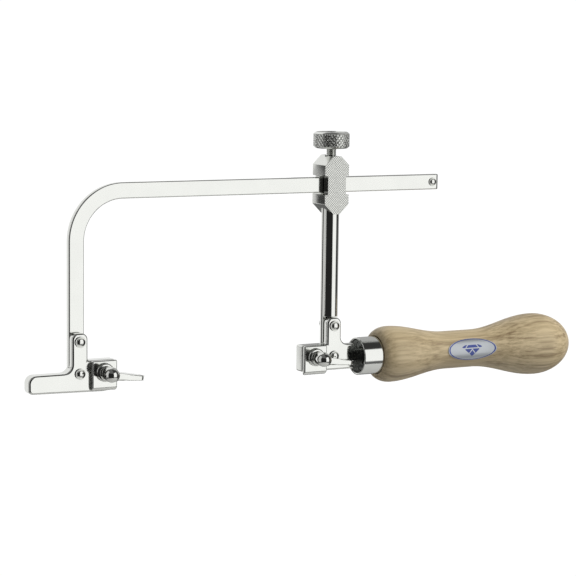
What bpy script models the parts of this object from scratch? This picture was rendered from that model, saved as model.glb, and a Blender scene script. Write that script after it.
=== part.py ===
"""Adjustable jeweller's saw frame: a bent flat bar, a sliding clamp block with a round post,
two blade clamps with wing screws and a turned handle.

Frame: +X runs along the blade from the nose clamp to the handle, +Z points from the blade to
the bar, and -Y is the side the wing screws stand on. The blade lies on the X axis in the plane
Y = 0, which is the clamping face of both brackets. The origin is where the blade leaves the
nose clamp's jaw. All sizes are in metres.
"""
import math

import bmesh
import bpy
from mathutils import Matrix, Vector

MM = 0.001
GAP = 0.3 * MM  # left between pieces that touch

# Driving sizes
THROAT = 80.0 * MM  # blade line to the bar's lower edge
JAW_SPACING = 109.6 * MM  # screw to screw, with the slider where it is modelled
BAR_HEIGHT = 7.5 * MM
BAR_THICKNESS = 3.2 * MM
BAR_BEND_RADIUS = 22.8 * MM  # on the bar's centre line
BAR_REACH = 192.0 * MM  # leg's centre line to the bar's free end
BAR_PLANE_Y = 6.0 * MM  # bar's middle plane, behind the blade's plane

BRACKET_TAB_THICKNESS = 4.1 * MM
JAW_THICKNESS = 6.6 * MM  # fixed jaws and nose
JAW_WIDTH = 12.5 * MM
JAW_PLATE_THICKNESS = 2.2 * MM
JAW_TOP = 6.8 * MM
JAW_BOTTOM = -7.2 * MM
TAB_WIDTH = 7.7 * MM
TAB_TOP = 19.5 * MM
TAB_CORNER = 2.9 * MM
LEG_TO_SCREW = 11.1 * MM
POST_TO_SCREW = 11.4 * MM
NOSE_LENGTH = 20.9 * MM  # left of the tab
NOSE_TOP = 1.3 * MM
NOSE_FILLET = 4.0 * MM
ARM_TOP = 6.3 * MM
ARM_BOTTOM = -6.0 * MM
ARM_FILLET = 3.6 * MM
TANG_HEIGHT = 7.6 * MM
TANG_LENGTH = 32.0 * MM

RIVET_SHANK_RADIUS = 1.6 * MM
RIVET_HEAD_RADIUS = 2.55 * MM
RIVET_HEAD_HEIGHT = 1.0 * MM
RIVET_UPPER_Z = 15.6 * MM
RIVET_LOWER_Z = 0.9 * MM

SCREW_Z = 1.4 * MM  # wing screws stand a little above the blade
SCREW_RADIUS = 2.0 * MM
SCREW_PITCH = 0.7 * MM
COLLAR_RADIUS = 4.2 * MM
COLLAR_HEIGHT = 1.1 * MM
HUB_RADIUS = 3.5 * MM
HUB_LENGTH = 8.6 * MM
WING_REACH = 16.6 * MM
WING_WIDTH = 6.6 * MM
WING_ROOT_THICKNESS = 3.0 * MM
WING_TIP_THICKNESS = 1.6 * MM
WING_ANGLE = math.radians(9.0)  # tips hang below level
GUIDE_PIN_RADIUS = 0.9 * MM
GUIDE_PIN_REACH = 1.5 * MM  # into the jaw plate
GUIDE_PIN_OFFSET = 4.1 * MM

BLOCK_WIDTH = 13.4 * MM
BLOCK_DEPTH = 12.6 * MM
BLOCK_TOP = 14.1 * MM  # above the bar's centre line
BLOCK_BOTTOM = 14.2 * MM
BLOCK_TOP_CHAMFER = 4.4 * MM
BLOCK_BOTTOM_CHAMFER = 4.9 * MM
WAIST_DEPTH = 1.6 * MM
WAIST_MARGIN = 0.5 * MM  # waist's edge to the bar's edge

CLAMP_STEM_RADIUS = 2.5 * MM
CLAMP_PITCH = 0.8 * MM
PAD_THICKNESS = 2.0 * MM
KNOB_RADIUS = 8.7 * MM
KNOB_HEIGHT = 7.9 * MM
KNOB_CHAMFER = 0.9 * MM
KNOB_CLEARANCE = 3.4 * MM  # knob to block

POST_RADIUS = 4.25 * MM
POST_SOCKET_DEPTH = 5.6 * MM
POST_END_Z = -3.4 * MM

FERRULE_START = 12.1 * MM  # from the post's axis
FERRULE_LENGTH = 10.7 * MM
FERRULE_RADIUS = 9.2 * MM
FERRULE_WALL = 1.0 * MM
FERRULE_LIP = 4.5 * MM  # open length in front of the wood
FERRULE_OVERLAP = 3.0 * MM  # runs on under the handle's shoulder

HANDLE_SHOULDER_RADIUS = 9.7 * MM
HANDLE_BULB_RADIUS = 13.75 * MM
HANDLE_WAIST_RADIUS = 9.35 * MM
HANDLE_BUTT_RADIUS = 15.5 * MM
HANDLE_BULB_AT = 7.3 * MM  # from the ferrule's end
HANDLE_WAIST_START = 39.0 * MM
HANDLE_WAIST_END = 55.0 * MM
HANDLE_BUTT_AT = 92.0 * MM
HANDLE_LENGTH = 112.8 * MM

LABEL_LENGTH = 27.8 * MM
LABEL_HEIGHT = 11.2 * MM
LABEL_THICKNESS = 0.2 * MM
LABEL_GAP = 0.15 * MM
LABEL_AT = 50.4 * MM  # from the ferrule's end
LABEL_TILT = math.radians(6.0)  # turned up towards the bar

STOP_RIVET_FROM_END = 3.4 * MM
STOP_RIVET_HEAD_RADIUS = 2.1 * MM
STOP_RIVET_SHANK_RADIUS = 1.2 * MM
STOP_RIVET_HEAD_HEIGHT = 0.6 * MM

# Places worked out from the driving sizes
FRONT_SCREW_X = -JAW_WIDTH / 2
REAR_SCREW_X = FRONT_SCREW_X + JAW_SPACING
LEG_X = FRONT_SCREW_X - LEG_TO_SCREW
POST_X = REAR_SCREW_X + POST_TO_SCREW
BAR_Z = THROAT + BAR_HEIGHT / 2
BAR_END_X = LEG_X + BAR_REACH
LEG_END_Z = JAW_BOTTOM + 3.0 * MM
FERRULE_X = POST_X + FERRULE_START
HANDLE_X = FERRULE_X + FERRULE_LENGTH
PLATE_FRONT_Y = -GAP - JAW_PLATE_THICKNESS
BLOCK_FRONT_Y = BAR_PLANE_Y - BLOCK_DEPTH / 2
KNOB_Z = BAR_Z + BLOCK_TOP + KNOB_CLEARANCE
PAD_Z = BAR_Z + BAR_HEIGHT / 2 + GAP

STEEL = (0.80, 0.81, 0.80)


def clear_scene():
    for item in list(bpy.data.objects):
        bpy.data.objects.remove(item, do_unlink=True)


def material(name, colour, roughness, metallic):
    shader = bpy.data.materials.new(name)
    shader.use_nodes = True
    principled = shader.node_tree.nodes["Principled BSDF"]
    principled.inputs["Base Color"].default_value = (*colour, 1.0)
    principled.inputs["Roughness"].default_value = roughness
    principled.inputs["Metallic"].default_value = metallic
    return shader


def add_object(name, bm, colour=STEEL, roughness=0.15, metallic=1.0):
    """Turn a bmesh into a named object with its own material."""
    bmesh.ops.recalc_face_normals(bm, faces=bm.faces)
    mesh = bpy.data.meshes.new(name)
    bm.to_mesh(mesh)
    bm.free()
    item = bpy.data.objects.new(name, mesh)
    bpy.context.scene.collection.objects.link(item)
    mesh.materials.append(material(name, colour, roughness, metallic))
    mesh.shade_smooth()
    mesh.set_sharp_from_angle(angle=math.radians(35))
    return item


def set_origin(item, point):
    """Move an object's origin to a point without moving its shape."""
    item.data.transform(Matrix.Translation(-Vector(point)))
    item.location = point


def boolean(item, other, operation):
    modifier = item.modifiers.new(other.name, "BOOLEAN")
    modifier.operation = operation
    modifier.solver = "EXACT"
    modifier.object = other
    other.hide_render = True
    other.display_type = "WIRE"


def cut(item, cutter):
    boolean(item, cutter, "DIFFERENCE")


def prism_mesh(outline, low_y, high_y):
    """Extrude an (x, z) outline from low_y to high_y."""
    bm = bmesh.new()
    corners = [bm.verts.new((x, low_y, z)) for x, z in outline]
    face = bm.faces.new(corners)
    swept = bmesh.ops.extrude_face_region(bm, geom=[face])
    moved = [part for part in swept["geom"] if isinstance(part, bmesh.types.BMVert)]
    bmesh.ops.translate(bm, vec=(0, high_y - low_y, 0), verts=moved)
    return bm


def box_mesh(low, high):
    outline = [(low[0], low[2]), (high[0], low[2]), (high[0], high[2]), (low[0], high[2])]
    return prism_mesh(outline, low[1], high[1])


def turned_mesh(profile, axis, start, segments=32):
    """Spin (distance, radius) points round an axis. Zero radii close the ends."""
    bm = bmesh.new()
    direction = Vector(axis).normalized()
    side = direction.orthogonal().normalized()
    other = direction.cross(side)
    start = Vector(start)
    rings = []
    for distance, radius in profile:
        centre = start + direction * distance
        if radius == 0:
            rings.append([bm.verts.new(centre)])
            continue
        ring = []
        for step in range(segments):
            angle = 2 * math.pi * step / segments
            ring.append(bm.verts.new(centre + radius * (math.cos(angle) * side + math.sin(angle) * other)))
        rings.append(ring)
    for first, second in zip(rings, rings[1:]):
        for step in range(segments):
            following = (step + 1) % segments
            corners = [first[step % len(first)], first[following % len(first)]]
            corners += [second[following % len(second)], second[step % len(second)]]
            bm.faces.new(list(dict.fromkeys(corners)))
    return bm


def rod_mesh(radius, axis, start, length, segments=32):
    return turned_mesh([(0, 0), (0, radius), (length, radius), (length, 0)], axis, start, segments)


def arc(centre, radius, start, end, steps):
    """Points on an arc in the XZ plane, angles in degrees from +X towards +Z."""
    points = []
    for step in range(steps + 1):
        angle = math.radians(start + (end - start) * step / steps)
        points.append((centre[0] + radius * math.cos(angle), centre[1] + radius * math.sin(angle)))
    return points


def dome(start, length, radius, steps):
    """Profile points of half an ellipse that closes a turned shape at its far end."""
    points = []
    for step in range(1, steps):
        angle = math.pi / 2 * step / steps
        points.append((start + length * math.sin(angle), radius * math.cos(angle)))
    return points + [(start + length, 0)]


def make_frame_bar():
    """Flat bar: a leg, a quarter-round bend and a straight run to the free end."""
    half = BAR_HEIGHT / 2
    bend = (LEG_X + BAR_BEND_RADIUS, BAR_Z - BAR_BEND_RADIUS)
    outline = [(LEG_X - half, LEG_END_Z)]
    outline += arc(bend, BAR_BEND_RADIUS + half, 180, 90, 14)
    outline += [(BAR_END_X, BAR_Z + half), (BAR_END_X, BAR_Z - half)]
    outline += arc(bend, BAR_BEND_RADIUS - half, 90, 180, 14)
    outline += [(LEG_X + half, LEG_END_Z)]
    low = BAR_PLANE_Y - BAR_THICKNESS / 2
    bar = add_object("frame_bar", prism_mesh(outline, low, low + BAR_THICKNESS))
    for z in (RIVET_UPPER_Z, RIVET_LOWER_Z):
        rivet_hole(bar, LEG_X, z, RIVET_SHANK_RADIUS)
    rivet_hole(bar, BAR_END_X - STOP_RIVET_FROM_END, BAR_Z, STOP_RIVET_SHANK_RADIUS)
    return bar


def rivet_hole(item, x, z, radius):
    hole = rod_mesh(radius + GAP, (0, 1, 0), (x, -20 * MM, z), 40 * MM, 20)
    cut(item, add_object(f"cut_{item.name}_rivet", hole))


def make_rivet(name, x, z, front_y, back_y, shank, head, head_height):
    """Headed pin through everything between front_y and back_y."""
    front = front_y - GAP
    back = back_y + GAP
    profile = [(0, 0), (0, head * 0.45), (head_height * 0.6, head * 0.85), (head_height, head)]
    profile += [(head_height, shank), (head_height + back - front, shank)]
    profile += [(head_height + back - front, head), (2 * head_height + back - front, head * 0.8)]
    profile += [(2 * head_height + back - front, 0)]
    return add_object(name, turned_mesh(profile, (0, 1, 0), (x, front - head_height, z), 20))


def front_outline():
    """Nose, tab and fixed jaw of the front bracket in one outline."""
    left = LEG_X - TAB_WIDTH / 2
    right = LEG_X + TAB_WIDTH / 2
    jaw = FRONT_SCREW_X + JAW_WIDTH / 2
    nose = left - NOSE_LENGTH
    top_round = 3.6 * MM
    bottom_round = 2.2 * MM
    belly = 0.7 * MM
    outline = arc((nose + bottom_round, JAW_BOTTOM + bottom_round), bottom_round, 180, 270, 5)
    outline += [(jaw - 5.5 * MM, JAW_BOTTOM - belly), (jaw - 1.2 * MM, JAW_BOTTOM), (jaw, JAW_BOTTOM + 1.2 * MM)]
    outline += [(jaw, JAW_TOP), (right, JAW_TOP)]
    outline += arc((right - TAB_CORNER, TAB_TOP - TAB_CORNER), TAB_CORNER, 0, 90, 5)
    outline += arc((left + TAB_CORNER, TAB_TOP - TAB_CORNER), TAB_CORNER, 90, 180, 5)
    outline += arc((left - NOSE_FILLET, NOSE_TOP + NOSE_FILLET), NOSE_FILLET, 0, -90, 5)
    outline += arc((nose + top_round, NOSE_TOP - top_round), top_round, 90, 180, 6)
    return outline


def rear_outline():
    """Fixed jaw, tab, arm and tang of the rear bracket in one outline."""
    jaw = REAR_SCREW_X - JAW_WIDTH / 2
    left = POST_X - TAB_WIDTH / 2
    right = POST_X + TAB_WIDTH / 2
    shoulder = FERRULE_X - GAP
    tang_end = shoulder + TANG_LENGTH
    half = TANG_HEIGHT / 2
    outline = [(jaw, ARM_BOTTOM), (shoulder, ARM_BOTTOM), (shoulder, -half), (tang_end - half, -half)]
    outline += [(tang_end, 0), (tang_end - half, half), (shoulder, half), (shoulder, ARM_TOP)]
    outline += arc((right + ARM_FILLET, ARM_TOP + ARM_FILLET), ARM_FILLET, 270, 180, 5)
    outline += arc((right - TAB_CORNER, TAB_TOP - TAB_CORNER), TAB_CORNER, 0, 90, 5)
    outline += arc((left + TAB_CORNER, TAB_TOP - TAB_CORNER), TAB_CORNER, 90, 180, 5)
    outline += [(left, JAW_TOP), (jaw, JAW_TOP)]
    return outline


def drill_jaw(bracket, screw_x, pin_x):
    hole = rod_mesh(SCREW_RADIUS + GAP, (0, 1, 0), (screw_x, -5 * MM, SCREW_Z), 20 * MM, 24)
    cut(bracket, add_object(f"cut_{bracket.name}_screw", hole))
    hole = rod_mesh(GUIDE_PIN_RADIUS + GAP, (0, 1, 0), (pin_x, -5 * MM, -GUIDE_PIN_OFFSET), 20 * MM, 16)
    cut(bracket, add_object(f"cut_{bracket.name}_pin", hole))


def make_front_bracket():
    """Thick nose and jaw, cut away behind the tab for the bar's leg."""
    bracket = add_object("front_bracket", prism_mesh(front_outline(), 0, JAW_THICKNESS))
    half = BAR_HEIGHT / 2 + GAP
    pocket = box_mesh((LEG_X - half, BRACKET_TAB_THICKNESS, -30 * MM), (LEG_X + half, 20 * MM, 40 * MM))
    cut(bracket, add_object("cut_front_bracket_leg", pocket))
    for z in (RIVET_UPPER_Z, RIVET_LOWER_Z):
        rivet_hole(bracket, LEG_X, z, RIVET_SHANK_RADIUS)
    drill_jaw(bracket, FRONT_SCREW_X, FRONT_SCREW_X - GUIDE_PIN_OFFSET)
    return bracket


def make_rear_bracket():
    """Thick jaw, cut away behind the tab, arm and tang."""
    bracket = add_object("rear_bracket", prism_mesh(rear_outline(), 0, JAW_THICKNESS))
    behind = POST_X - POST_RADIUS - GAP
    pocket = box_mesh((behind, BRACKET_TAB_THICKNESS, -30 * MM), (FERRULE_X + 60 * MM, 20 * MM, 40 * MM))
    cut(bracket, add_object("cut_rear_bracket_post", pocket))
    for z in (RIVET_UPPER_Z, RIVET_LOWER_Z):
        rivet_hole(bracket, POST_X, z, RIVET_SHANK_RADIUS)
    drill_jaw(bracket, REAR_SCREW_X, REAR_SCREW_X + GUIDE_PIN_OFFSET)
    return bracket


def make_jaw_plate(name, screw_x, pin_x):
    """Loose plate that the wing screw presses on the blade."""
    half = JAW_WIDTH / 2
    corner = 0.8 * MM
    outline = [(screw_x - half + corner, JAW_BOTTOM), (screw_x + half - corner, JAW_BOTTOM)]
    outline += [(screw_x + half, JAW_BOTTOM + corner), (screw_x + half, JAW_TOP)]
    outline += [(screw_x - half, JAW_TOP), (screw_x - half, JAW_BOTTOM + corner)]
    plate = add_object(name, prism_mesh(outline, PLATE_FRONT_Y, -GAP))
    hole = rod_mesh(SCREW_RADIUS + GAP, (0, 1, 0), (screw_x, -10 * MM, SCREW_Z), 20 * MM, 24)
    cut(plate, add_object(f"cut_{name}_screw", hole))
    depth = GUIDE_PIN_REACH + GAP
    hole = rod_mesh(GUIDE_PIN_RADIUS + GAP, (0, 1, 0), (pin_x, -depth, -GUIDE_PIN_OFFSET), 10 * MM, 16)
    cut(plate, add_object(f"cut_{name}_pin", hole))
    return plate


def make_guide_pin(name, pin_x):
    """Pin in the fixed jaw that keeps the jaw plate square."""
    start = (pin_x, -GUIDE_PIN_REACH, -GUIDE_PIN_OFFSET)
    length = GUIDE_PIN_REACH + JAW_THICKNESS
    return add_object(name, rod_mesh(GUIDE_PIN_RADIUS, (0, 1, 0), start, length, 16))


def wing_mesh(screw_x, front_y):
    """Flat leaf that stands out from the hub, thinner and rounded towards its tip."""
    root = WING_ROOT_THICKNESS / 2
    tip = WING_TIP_THICKNESS / 2
    round_off = 2.2 * MM
    bm = prism_mesh([(0, -root), (WING_REACH, -tip), (WING_REACH, tip), (0, root)], 0, WING_WIDTH)
    tips = [edge for edge in bm.edges if all(v.co.x > WING_REACH / 2 for v in edge.verts)]
    tips = [edge for edge in tips if abs(edge.verts[0].co.y - edge.verts[1].co.y) < WING_WIDTH / 2]
    bmesh.ops.bevel(bm, geom=tips, offset=round_off, segments=3, affect="EDGES", profile=0.5)
    bmesh.ops.rotate(bm, verts=bm.verts, matrix=Matrix.Rotation(WING_ANGLE, 3, "Y"))
    bmesh.ops.translate(bm, verts=bm.verts, vec=(screw_x, front_y, SCREW_Z))
    return bm


def make_wing_screw(name, screw_x):
    """Threaded shank, collar and domed hub with one flat leaf."""
    seat = PLATE_FRONT_Y - GAP
    shank = seat - BRACKET_TAB_THICKNESS - 2 * MM
    dome_length = HUB_RADIUS * 0.8
    profile = [(0, 0), (0, SCREW_RADIUS), (-shank, SCREW_RADIUS), (-shank, COLLAR_RADIUS)]
    profile += [(-shank + COLLAR_HEIGHT, COLLAR_RADIUS), (-shank + COLLAR_HEIGHT, HUB_RADIUS * 0.88)]
    profile += [(-shank + HUB_LENGTH, HUB_RADIUS)]
    profile += dome(-shank + HUB_LENGTH, dome_length, HUB_RADIUS, 5)
    start = (screw_x, seat - shank, SCREW_Z)
    screw = add_object(name, turned_mesh(profile, (0, -1, 0), start, 28))
    leaf = wing_mesh(screw_x, seat - COLLAR_HEIGHT - 0.6 * MM - WING_WIDTH)
    boolean(screw, add_object(f"cut_{name}_leaf", leaf), "UNION")
    return screw


def make_slider_block():
    """Chamfered block with a slot for the bar, a bore for the screw and a socket for the post."""
    half = BLOCK_WIDTH / 2
    top = BAR_Z + BLOCK_TOP
    bottom = BAR_Z - BLOCK_BOTTOM
    waist = half - WAIST_DEPTH
    waist_half = BAR_HEIGHT / 2 + WAIST_MARGIN
    side = [(half, bottom + BLOCK_BOTTOM_CHAMFER), (half, BAR_Z - waist_half), (waist, BAR_Z - waist_half)]
    side += [(waist, BAR_Z + waist_half), (half, BAR_Z + waist_half), (half, top - BLOCK_TOP_CHAMFER)]
    side = [(half - BLOCK_BOTTOM_CHAMFER, bottom)] + side + [(half - BLOCK_TOP_CHAMFER, top)]
    outline = [(POST_X + x, z) for x, z in side] + [(POST_X - x, z) for x, z in reversed(side)]
    block = add_object("slider_block", prism_mesh(outline, BLOCK_FRONT_Y, BLOCK_FRONT_Y + BLOCK_DEPTH), roughness=0.3)
    slot_y = BAR_THICKNESS / 2 + GAP
    slot_z = BAR_HEIGHT / 2 + GAP
    low = (POST_X - 20 * MM, BAR_PLANE_Y - slot_y, BAR_Z - slot_z)
    high = (POST_X + 20 * MM, BAR_PLANE_Y + slot_y, BAR_Z + slot_z)
    cut(block, add_object("cut_slider_block_slot", box_mesh(low, high)))
    bore = rod_mesh(CLAMP_STEM_RADIUS + GAP, (0, 0, 1), (POST_X, BAR_PLANE_Y, BAR_Z), 40 * MM, 24)
    cut(block, add_object("cut_slider_block_bore", bore))
    socket_top = bottom + POST_SOCKET_DEPTH + GAP
    socket = rod_mesh(POST_RADIUS + GAP, (0, 0, -1), (POST_X, BAR_PLANE_Y, socket_top), 20 * MM, 40)
    cut(block, add_object("cut_slider_block_socket", socket))
    return block


def make_pressure_pad():
    """Loose disc under the clamp screw that bears on the bar's edge."""
    pad = rod_mesh(CLAMP_STEM_RADIUS - 0.1 * MM, (0, 0, 1), (POST_X, BAR_PLANE_Y, PAD_Z), PAD_THICKNESS, 24)
    return add_object("pressure_pad", pad)


def make_clamp_screw():
    """Knurled head and threaded stem in one turned piece."""
    start = PAD_Z + PAD_THICKNESS + GAP
    knob = KNOB_Z - start
    top = knob + KNOB_HEIGHT
    rim = KNOB_RADIUS - KNOB_CHAMFER
    profile = [(0, 0), (0, CLAMP_STEM_RADIUS), (knob, CLAMP_STEM_RADIUS), (knob, rim)]
    profile += [(knob + KNOB_CHAMFER, KNOB_RADIUS), (top - KNOB_CHAMFER, KNOB_RADIUS), (top, rim), (top, 0)]
    return add_object("clamp_screw", turned_mesh(profile, (0, 0, 1), (POST_X, BAR_PLANE_Y, start), 40))


def make_post_rod():
    """Round post, milled flat where the rear bracket's tab lies on it."""
    bottom = BAR_Z - BLOCK_BOTTOM
    length = bottom + POST_SOCKET_DEPTH - POST_END_Z
    start = (POST_X, BAR_PLANE_Y, POST_END_Z)
    post = add_object("post_rod", rod_mesh(POST_RADIUS, (0, 0, 1), start, length, 40))
    flat_y = BRACKET_TAB_THICKNESS + GAP
    low = (POST_X - 10 * MM, -20 * MM, -20 * MM)
    cut(post, add_object("cut_post_rod_flat", box_mesh(low, (POST_X + 10 * MM, flat_y, TAB_TOP + GAP))))
    for z in (RIVET_UPPER_Z, RIVET_LOWER_Z):
        rivet_hole(post, POST_X, z, RIVET_SHANK_RADIUS)
    return post


def make_ferrule():
    """Metal tube on the handle's end, open towards the clamp."""
    inner = FERRULE_RADIUS - FERRULE_WALL
    length = FERRULE_LENGTH + FERRULE_OVERLAP
    profile = [(0, inner), (0, FERRULE_RADIUS), (length, FERRULE_RADIUS), (length, inner), (0, inner)]
    bm = turned_mesh(profile, (1, 0, 0), (FERRULE_X, 0, 0), 48)
    bmesh.ops.remove_doubles(bm, verts=bm.verts, dist=0.001 * MM)
    return add_object("ferrule", bm)


def handle_radius(distance):
    """Handle's radius at a distance from the ferrule's end."""
    if distance < HANDLE_BULB_AT:
        rise = 1 - distance / HANDLE_BULB_AT
        return HANDLE_SHOULDER_RADIUS + (HANDLE_BULB_RADIUS - HANDLE_SHOULDER_RADIUS) * math.sqrt(1 - rise**2)
    if distance < HANDLE_WAIST_START:
        return blend(HANDLE_BULB_RADIUS, HANDLE_WAIST_RADIUS, HANDLE_BULB_AT, HANDLE_WAIST_START, distance)
    if distance < HANDLE_WAIST_END:
        return HANDLE_WAIST_RADIUS
    if distance < HANDLE_BUTT_AT:
        return blend(HANDLE_WAIST_RADIUS, HANDLE_BUTT_RADIUS, HANDLE_WAIST_END, HANDLE_BUTT_AT, distance)
    fall = (distance - HANDLE_BUTT_AT) / (HANDLE_LENGTH - HANDLE_BUTT_AT)
    return HANDLE_BUTT_RADIUS * math.sqrt(max(0, 1 - fall**2))


def blend(first, last, start, end, distance):
    """Half a cosine wave between two radii."""
    share = (1 - math.cos(math.pi * (distance - start) / (end - start))) / 2
    return first + (last - first) * share


def handle_stations():
    """Distances along the handle: close together on the round ends."""
    stations = [HANDLE_BULB_AT * (1 - math.cos(math.pi / 2 * step / 5)) for step in range(6)]
    stations += [HANDLE_BULB_AT + (HANDLE_WAIST_START - HANDLE_BULB_AT) * step / 8 for step in range(1, 9)]
    stations += [HANDLE_WAIST_END + (HANDLE_BUTT_AT - HANDLE_WAIST_END) * step / 9 for step in range(10)]
    return stations


def make_handle():
    """Turned wooden handle with a spigot in the ferrule and a slot for the tang."""
    spigot = FERRULE_RADIUS - FERRULE_WALL - GAP
    shoulder = FERRULE_RADIUS + GAP
    lip = FERRULE_LENGTH - FERRULE_LIP
    pocket = FERRULE_OVERLAP + GAP
    profile = [(-lip, 0), (-lip, spigot), (pocket, spigot), (pocket, shoulder), (0, shoulder)]
    profile += [(distance, handle_radius(distance)) for distance in handle_stations()]
    profile += dome(HANDLE_BUTT_AT, HANDLE_LENGTH - HANDLE_BUTT_AT, HANDLE_BUTT_RADIUS, 8)
    handle = add_object("handle", turned_mesh(profile, (1, 0, 0), (HANDLE_X, 0, 0), 48),
                        (0.62, 0.47, 0.32), 0.5, 0.0)
    half = TANG_HEIGHT / 2 + GAP
    tang_end = FERRULE_X + TANG_LENGTH + GAP
    slot = box_mesh((FERRULE_X, -GAP, -half), (tang_end, BRACKET_TAB_THICKNESS + GAP, half))
    cut(handle, add_object("cut_handle_tang", slot))
    return handle


def make_handle_label():
    """Thin oval plate that follows the handle's waist."""
    rings = 4
    spokes = 32
    bm = bmesh.new()
    layers = []
    for lift in (LABEL_GAP, LABEL_GAP + LABEL_THICKNESS):
        layer = [[label_point(bm, 0, 0, lift)]]
        for ring in range(1, rings + 1):
            layer.append([label_point(bm, ring / rings, 2 * math.pi * spoke / spokes, lift)
                          for spoke in range(spokes)])
        layers.append(layer)
        for first, second in zip(layer, layer[1:]):
            for spoke in range(spokes):
                following = (spoke + 1) % spokes
                corners = [first[spoke % len(first)], first[following % len(first)]]
                corners += [second[following], second[spoke]]
                bm.faces.new(list(dict.fromkeys(corners)))
    low, high = layers[0][-1], layers[1][-1]
    for spoke in range(spokes):
        following = (spoke + 1) % spokes
        bm.faces.new([low[spoke], low[following], high[following], high[spoke]])
    return add_object("handle_label", bm, (0.72, 0.74, 0.76), 0.3, 0.8)


def label_point(bm, share, angle, lift):
    along = LABEL_AT + LABEL_LENGTH / 2 * share * math.cos(angle)
    radius = handle_radius(along) + lift
    turn = LABEL_TILT + LABEL_HEIGHT / 2 * share * math.sin(angle) / radius
    return bm.verts.new((HANDLE_X + along, -radius * math.cos(turn), radius * math.sin(turn)))


def make_clamp(side, screw_x, pin_x):
    plate = make_jaw_plate(f"{side}_jaw_plate", screw_x, pin_x)
    set_origin(plate, (screw_x, PLATE_FRONT_Y, SCREW_Z))
    make_guide_pin(f"{side}_guide_pin", pin_x)
    make_wing_screw(f"{side}_wing_screw", screw_x)
    pivot = bpy.data.objects.new(f"{side}_screw_axis", None)
    pivot.location = (screw_x, PLATE_FRONT_Y, SCREW_Z)
    bpy.context.scene.collection.objects.link(pivot)


def make_bracket_rivets(side, x, back_y):
    for place, z in (("upper", RIVET_UPPER_Z), ("lower", RIVET_LOWER_Z)):
        make_rivet(f"{side}_rivet_{place}", x, z, 0, back_y, RIVET_SHANK_RADIUS, RIVET_HEAD_RADIUS,
                   RIVET_HEAD_HEIGHT)


def main():
    clear_scene()
    make_frame_bar()
    bar_front = BAR_PLANE_Y - BAR_THICKNESS / 2
    bar_back = bar_front + BAR_THICKNESS
    make_rivet("bar_stop_rivet", BAR_END_X - STOP_RIVET_FROM_END, BAR_Z, bar_front, bar_back,
               STOP_RIVET_SHANK_RADIUS, STOP_RIVET_HEAD_RADIUS, STOP_RIVET_HEAD_HEIGHT)
    make_front_bracket()
    make_bracket_rivets("front", LEG_X, bar_back)
    make_clamp("front", FRONT_SCREW_X, FRONT_SCREW_X - GUIDE_PIN_OFFSET)
    make_slider_block()
    make_pressure_pad()
    screw = make_clamp_screw()
    set_origin(screw, (POST_X, BAR_PLANE_Y, KNOB_Z))
    make_post_rod()
    make_rear_bracket()
    make_bracket_rivets("rear", POST_X, BAR_PLANE_Y + POST_RADIUS)
    make_clamp("rear", REAR_SCREW_X, REAR_SCREW_X + GUIDE_PIN_OFFSET)
    make_ferrule()
    make_handle()
    make_handle_label()


main()
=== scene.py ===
"""Looks for the jeweller's saw frame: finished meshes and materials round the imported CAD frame."""
import math

import bmesh
import bpy
from mathutils import Matrix, Vector


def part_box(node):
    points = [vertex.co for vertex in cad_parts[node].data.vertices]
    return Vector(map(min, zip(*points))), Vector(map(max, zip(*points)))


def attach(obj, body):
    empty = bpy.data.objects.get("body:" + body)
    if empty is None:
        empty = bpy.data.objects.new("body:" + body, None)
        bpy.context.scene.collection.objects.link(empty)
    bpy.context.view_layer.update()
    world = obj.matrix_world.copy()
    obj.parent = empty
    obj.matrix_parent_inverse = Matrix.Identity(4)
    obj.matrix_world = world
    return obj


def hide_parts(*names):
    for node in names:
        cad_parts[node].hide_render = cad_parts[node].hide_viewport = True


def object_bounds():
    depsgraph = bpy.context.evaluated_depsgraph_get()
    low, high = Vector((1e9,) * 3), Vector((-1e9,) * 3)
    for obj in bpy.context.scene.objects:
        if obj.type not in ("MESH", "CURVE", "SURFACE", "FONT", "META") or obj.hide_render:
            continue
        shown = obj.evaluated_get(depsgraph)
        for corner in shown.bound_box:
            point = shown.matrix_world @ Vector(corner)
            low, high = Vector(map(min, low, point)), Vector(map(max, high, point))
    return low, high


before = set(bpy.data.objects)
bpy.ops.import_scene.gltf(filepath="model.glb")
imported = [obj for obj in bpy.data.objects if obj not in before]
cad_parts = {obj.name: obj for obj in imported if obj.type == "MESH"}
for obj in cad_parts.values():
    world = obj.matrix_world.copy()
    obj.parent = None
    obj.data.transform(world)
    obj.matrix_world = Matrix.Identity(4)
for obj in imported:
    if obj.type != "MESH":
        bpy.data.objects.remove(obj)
CAD_BOX = [list(corner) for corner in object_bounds()]

MM = 0.001
GAP = 0.3 * MM
CLEAR = 10 * MM     # cutters reach past what they cut by one or more of these

# Bar
BEND_RADIUS = 22.8 * MM
EDGE = 0.6 * MM
BAR_CHAMFER = 1.1 * MM
BAR_END_SHARE = 0.62     # thickness left at the very end

# Brackets, jaw plates and wing screws
TAB_THICKNESS = 4.1 * MM
TAB_HALF = 3.85 * MM
TAB_CORNER = 2.9 * MM
NOSE_TOP = 1.3 * MM
NOSE_TOE = 2.2 * MM
NOSE_ROUND = 3.6 * MM
NOSE_FILLET = 4.0 * MM
NOSE_BELLY = 0.7 * MM
BELLY_AT = 5.5 * MM
ARM_TOP = 6.3 * MM
ARM_BOTTOM = -6.0 * MM
ARM_FILLET = 3.6 * MM
JAW_TOP = 6.8 * MM
JAW_BOTTOM = -7.2 * MM
JAW_CORNER = 1.2 * MM
PLATE_SLANT = 1.1 * MM
TANG_HALF = 3.8 * MM
SCREW_Z = 1.4 * MM
SCREW_RADIUS = 2.0 * MM
LEAF_REACH = 16.6 * MM
LEAF_STAND = 1.7 * MM
WING_ANGLE = math.radians(7.5)

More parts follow.
